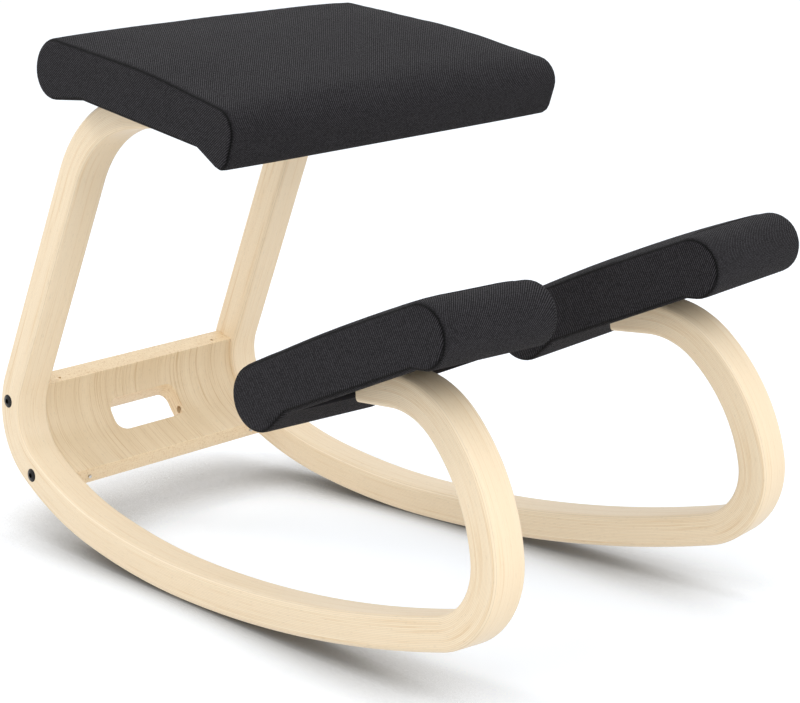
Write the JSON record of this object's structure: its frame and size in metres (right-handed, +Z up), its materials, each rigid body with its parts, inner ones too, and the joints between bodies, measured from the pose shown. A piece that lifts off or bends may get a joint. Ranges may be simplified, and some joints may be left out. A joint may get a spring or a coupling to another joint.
{
  "type": "rocking kneeling chair",
  "caption": "Rocking kneeling chair with bent laminated wood runners, a sloping upholstered seat, knee pads and a curved cross panel with a hand slot.",
  "frame": {"origin": "on the floor, under the middle of the chair's bounding box", "axes": "-Y is the way the sitter faces, +X is the sitter's left, +Z is up"},
  "size_m": [0.4884, 0.7182, 0.5246],
  "materials": {
    "lacquered_beech": "pale laminated beech under clear satin lacquer",
    "hardwood_dowel": "plain turned hardwood",
    "grey_board": "dark stained plywood under the upholstery",
    "charcoal_fabric": "charcoal wool blend with a fine rib weave",
    "upholstery_foam": "moulded upholstery foam",
    "grey_woven_tab": "plain woven tab",
    "zinc_steel": "zinc plated steel",
    "black_cap": "gloss black steel"
  },
  "bodies": {
    "root": {"right_side_frame": "lacquered_beech", "left_side_frame": "lacquered_beech", "cross_panel": "lacquered_beech", "right_upper_panel_bolt": "black_cap", "right_lower_panel_bolt": "black_cap", "right_panel_sleeve_nuts": "zinc_steel", "right_panel_lock_pins": "zinc_steel", "right_locating_dowel": "hardwood_dowel", "left_upper_panel_bolt": "black_cap", "left_lower_panel_bolt": "black_cap", "left_panel_sleeve_nuts": "zinc_steel", "left_panel_lock_pins": "zinc_steel", "left_locating_dowel": "hardwood_dowel", "seat_board": "grey_board", "seat_bolts": "zinc_steel", "seat_t_nuts": "zinc_steel", "seat_foam": "upholstery_foam", "seat_cover_wrap": "charcoal_fabric", "seat_cover_left_side": "charcoal_fabric", "seat_cover_right_side": "charcoal_fabric", "seat_seam_tab": "grey_woven_tab", "right_knee_pad_board": "grey_board", "right_knee_pad_bolts": "zinc_steel", "right_knee_pad_t_nuts": "zinc_steel", "right_knee_pad_foam": "upholstery_foam", "right_knee_pad_cover_wrap": "charcoal_fabric", "right_knee_pad_cover_left_side": "charcoal_fabric", "right_knee_pad_cover_right_side": "charcoal_fabric", "left_knee_pad_board": "grey_board", "left_knee_pad_bolts": "zinc_steel", "left_knee_pad_t_nuts": "zinc_steel", "left_knee_pad_foam": "upholstery_foam", "left_knee_pad_cover_wrap": "charcoal_fabric", "left_knee_pad_cover_left_side": "charcoal_fabric", "left_knee_pad_cover_right_side": "charcoal_fabric"}
  },
  "joints": []
}
